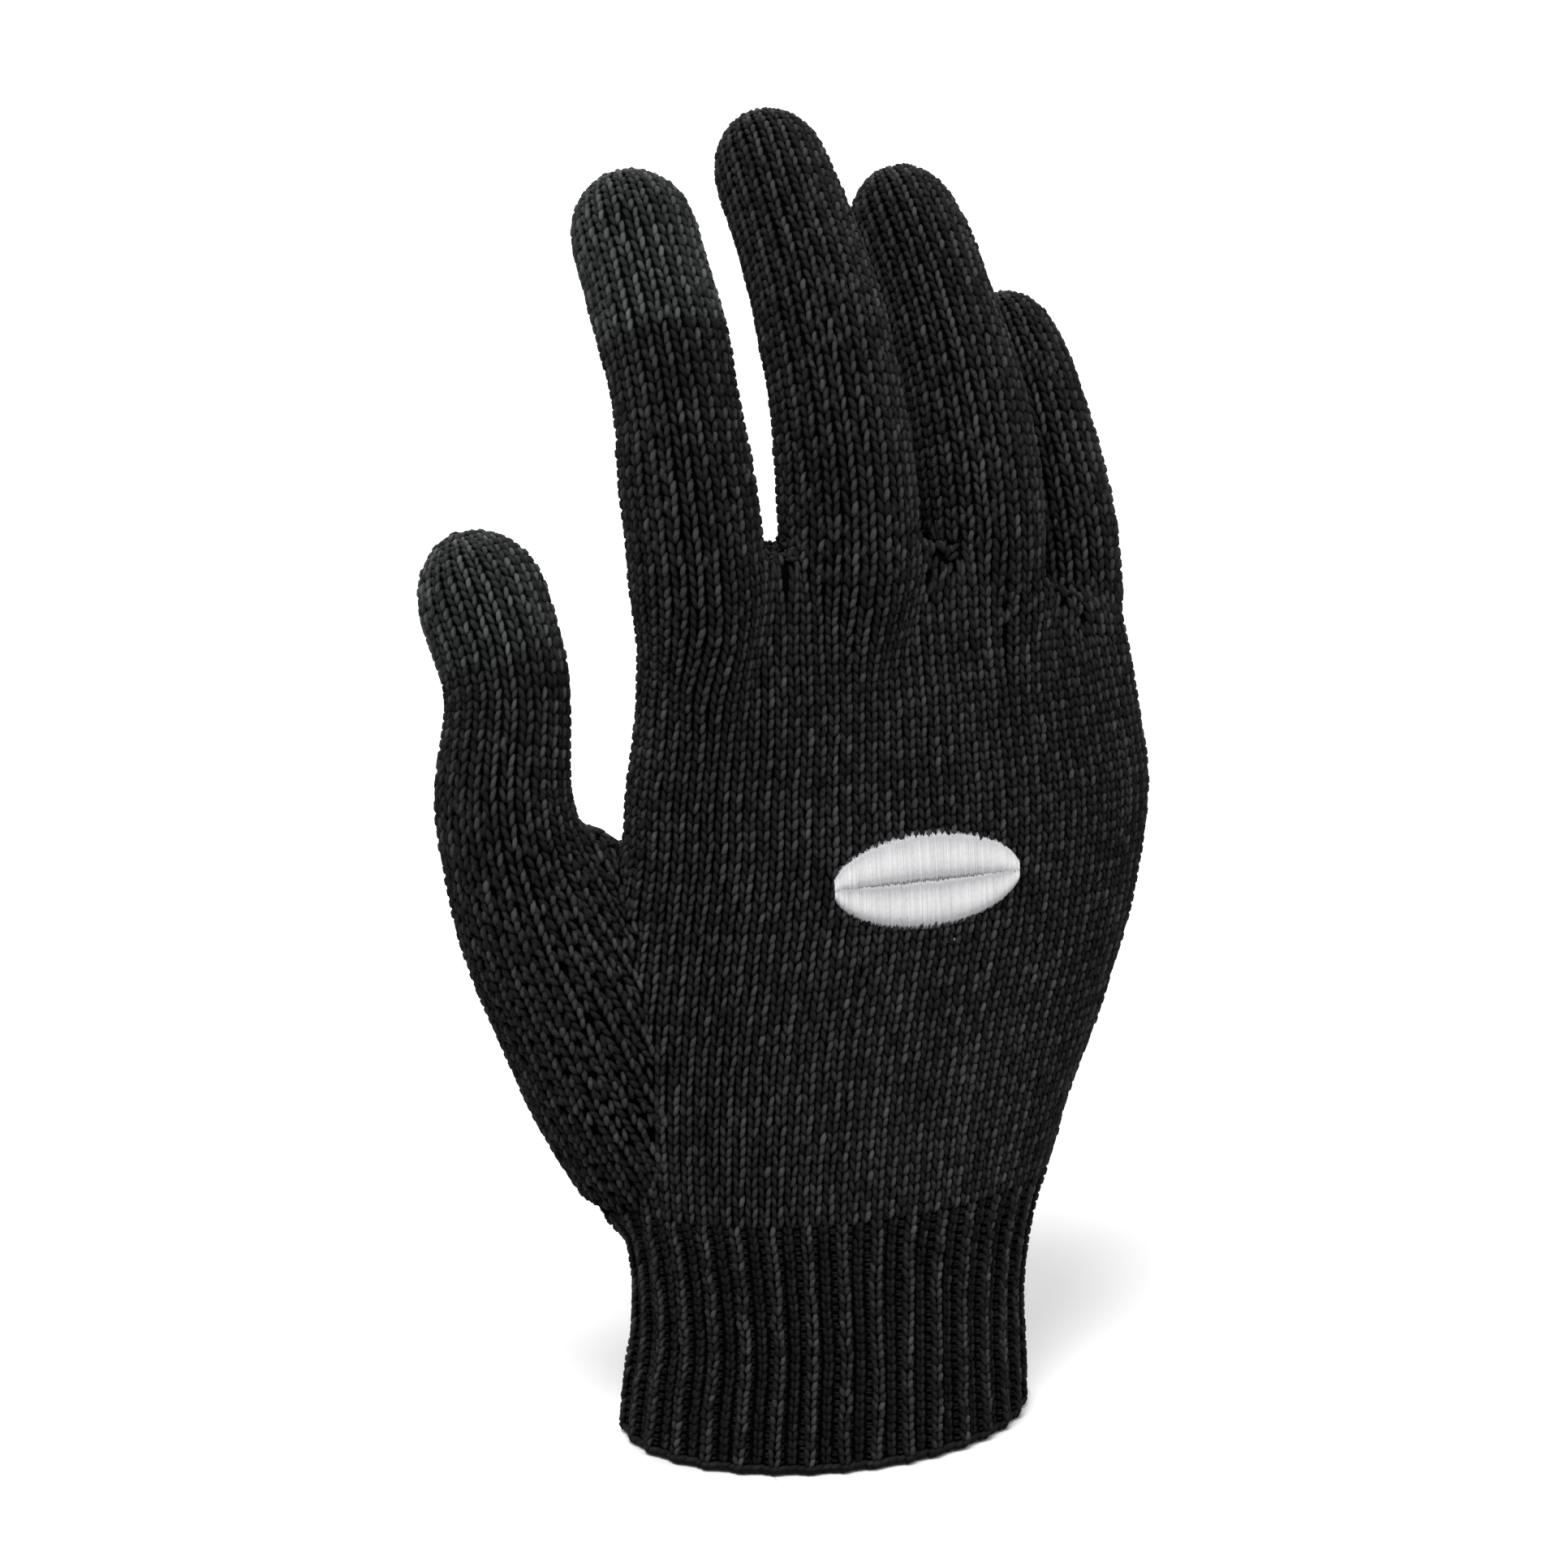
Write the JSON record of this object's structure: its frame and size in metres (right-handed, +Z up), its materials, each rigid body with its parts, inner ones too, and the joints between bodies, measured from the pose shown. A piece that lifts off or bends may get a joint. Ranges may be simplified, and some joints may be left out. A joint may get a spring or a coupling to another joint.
{
  "type": "touchscreen glove",
  "caption": "Knitted right-hand glove with a ribbed elastic cuff, conductive index and thumb tips, and digits that bend at their joints.",
  "frame": {"origin": "centre of the cuff opening, in the plane of the hem", "axes": "+Z up along the hand toward the fingertips, -Y out of the back of the hand, +Y out of the palm, -X toward the thumb"},
  "size_m": [0.1241, 0.0685, 0.2194],
  "materials": {
    "black_knit": "matte wool and acrylic stockinette knit",
    "rib_knit": "matte elastic rib knit",
    "touch_knit": "conductive yarn, slightly greyer knit",
    "white_thread": "glossy rayon embroidery thread",
    "backing": "non-woven backing",
    "elastic": "covered elastic thread",
    "label": "satin tape",
    "label_thread": "sewing thread"
  },
  "bodies": {
    "hand": {"care_label": "label", "cuff_elastic_threads": "elastic", "cuff_hem": "rib_knit", "cuff_rib": "rib_knit", "emblem_backing": "backing", "emblem_stitching": "white_thread", "hand_shell": "black_knit", "index_knuckle_fold": "black_knit", "index_middle_crotch_seam": "black_knit", "label_stitches": "label_thread", "little_knuckle_fold": "black_knit", "middle_knuckle_fold": "black_knit", "middle_ring_crotch_seam": "black_knit", "ring_knuckle_fold": "black_knit", "ring_little_crotch_seam": "black_knit", "thumb_crotch_seam": "black_knit", "thumb_knuckle_fold": "black_knit"},
    "index_proximal": {"index_proximal_tube": "black_knit", "index_middle_joint_fold": "black_knit"},
    "index_middle": {"index_middle_tube": "black_knit", "index_touch_band": "touch_knit", "index_tip_joint_fold": "touch_knit"},
    "index_distal": {"index_touch_tip": "touch_knit", "index_tip_seam": "touch_knit"},
    "middle_proximal": {"middle_proximal_tube": "black_knit", "middle_middle_joint_fold": "black_knit"},
    "middle_middle": {"middle_middle_tube": "black_knit", "middle_tip_joint_fold": "black_knit"},
    "middle_distal": {"middle_tip_tube": "black_knit", "middle_tip_seam": "black_knit"},
    "ring_proximal": {"ring_proximal_tube": "black_knit", "ring_middle_joint_fold": "black_knit"},
    "ring_middle": {"ring_middle_tube": "black_knit", "ring_tip_joint_fold": "black_knit"},
    "ring_distal": {"ring_tip_tube": "black_knit", "ring_tip_seam": "black_knit"},
    "little_proximal": {"little_proximal_tube": "black_knit", "little_middle_joint_fold": "black_knit"},
    "little_middle": {"little_middle_tube": "black_knit", "little_tip_joint_fold": "black_knit"},
    "little_distal": {"little_tip_tube": "black_knit", "little_tip_seam": "black_knit"},
    "thumb_proximal": {"thumb_proximal_tube": "black_knit", "thumb_tip_joint_fold": "black_knit"},
    "thumb_distal": {"thumb_touch_tip": "touch_knit", "thumb_tip_seam": "touch_knit"}
  },
  "joints": [
    {"name": "index_knuckle", "type": "hinge", "parent": "hand", "child": "index_proximal", "pos_m": [-0.0238, 0, 0.157], "axis": [-0.9991, 0, -0.0419], "range_deg": [-10, 45], "deforming": ["index_knuckle_fold"]},
    {"name": "index_middle_joint", "type": "hinge", "parent": "index_proximal", "child": "index_middle", "pos_m": [-0.02455, 0.00448, 0.17494], "axis": [-0.9991, 0, -0.0419], "range_deg": [-10, 60], "deforming": ["index_middle_joint_fold"]},
    {"name": "index_tip_joint", "type": "hinge", "parent": "index_middle", "child": "index_distal", "pos_m": [-0.02532, 0.01378, 0.19318], "axis": [-0.9991, 0, -0.0419], "range_deg": [-6, 36], "deforming": ["index_tip_joint_fold"]},
    {"name": "middle_knuckle", "type": "hinge", "parent": "hand", "child": "middle_proximal", "pos_m": [0.003, -0.0022, 0.157], "axis": [-0.9999, 0, -0.0105], "range_deg": [-10, 45], "deforming": ["middle_knuckle_fold"]},
    {"name": "middle_middle_joint", "type": "hinge", "parent": "middle_proximal", "child": "middle_middle", "pos_m": [0.00278, 0.00373, 0.17767], "axis": [-0.9999, 0, -0.0105], "range_deg": [-10, 60], "deforming": ["middle_middle_joint_fold"]},
    {"name": "middle_tip_joint", "type": "hinge", "parent": "middle_middle", "child": "middle_distal", "pos_m": [0.00257, 0.01771, 0.19839], "axis": [-0.9999, 0, -0.0105], "range_deg": [-6, 36], "deforming": ["middle_tip_joint_fold"]},
    {"name": "ring_knuckle", "type": "hinge", "parent": "hand", "child": "ring_proximal", "pos_m": [0.029, 0.0024, 0.154], "axis": [-0.9996, 0, -0.0279], "range_deg": [-10, 45], "deforming": ["ring_knuckle_fold"]},
    {"name": "ring_middle_joint", "type": "hinge", "parent": "ring_proximal", "child": "ring_middle", "pos_m": [0.02851, 0.00781, 0.17169], "axis": [-0.9996, 0, -0.0279], "range_deg": [-10, 60], "deforming": ["ring_middle_joint_fold"]},
    {"name": "ring_tip_joint", "type": "hinge", "parent": "ring_middle", "child": "ring_distal", "pos_m": [0.02797, 0.02129, 0.19093], "axis": [-0.9996, 0, -0.0279], "range_deg": [-6, 36], "deforming": ["ring_tip_joint_fold"]},
    {"name": "little_knuckle", "type": "hinge", "parent": "hand", "child": "little_proximal", "pos_m": [0.0492, 0.0098, 0.143], "axis": [-0.9986, 0, -0.0523], "range_deg": [-10, 45], "deforming": ["little_knuckle_fold"]},
    {"name": "little_middle_joint", "type": "hinge", "parent": "little_proximal", "child": "little_middle", "pos_m": [0.0485, 0.01389, 0.15637], "axis": [-0.9986, 0, -0.0523], "range_deg": [-10, 55], "deforming": ["little_middle_joint_fold"]},
    {"name": "little_tip_joint", "type": "hinge", "parent": "little_middle", "child": "little_distal", "pos_m": [0.04766, 0.02314, 0.17237], "axis": [-0.9986, 0, -0.0523], "range_deg": [-6, 33], "deforming": ["little_tip_joint_fold"]},
    {"name": "thumb_knuckle", "type": "hinge", "parent": "hand", "child": "thumb_proximal", "pos_m": [-0.0522, 0.0108, 0.108], "axis": [-0.9063, 0.4226, 0.007], "range_deg": [-10, 30], "deforming": ["thumb_knuckle_fold"]},
    {"name": "thumb_tip_joint", "type": "hinge", "parent": "thumb_proximal", "child": "thumb_distal", "pos_m": [-0.05013, 0.01492, 0.12797], "axis": [-0.9063, 0.4226, 0.007], "range_deg": [-10, 55], "deforming": ["thumb_tip_joint_fold"]}
  ],
  "couplings": [
    {"joint": "index_tip_joint", "follows": "index_middle_joint", "ratio": 0.6},
    {"joint": "middle_tip_joint", "follows": "middle_middle_joint", "ratio": 0.6},
    {"joint": "ring_tip_joint", "follows": "ring_middle_joint", "ratio": 0.6},
    {"joint": "little_tip_joint", "follows": "little_middle_joint", "ratio": 0.6}
  ]
}
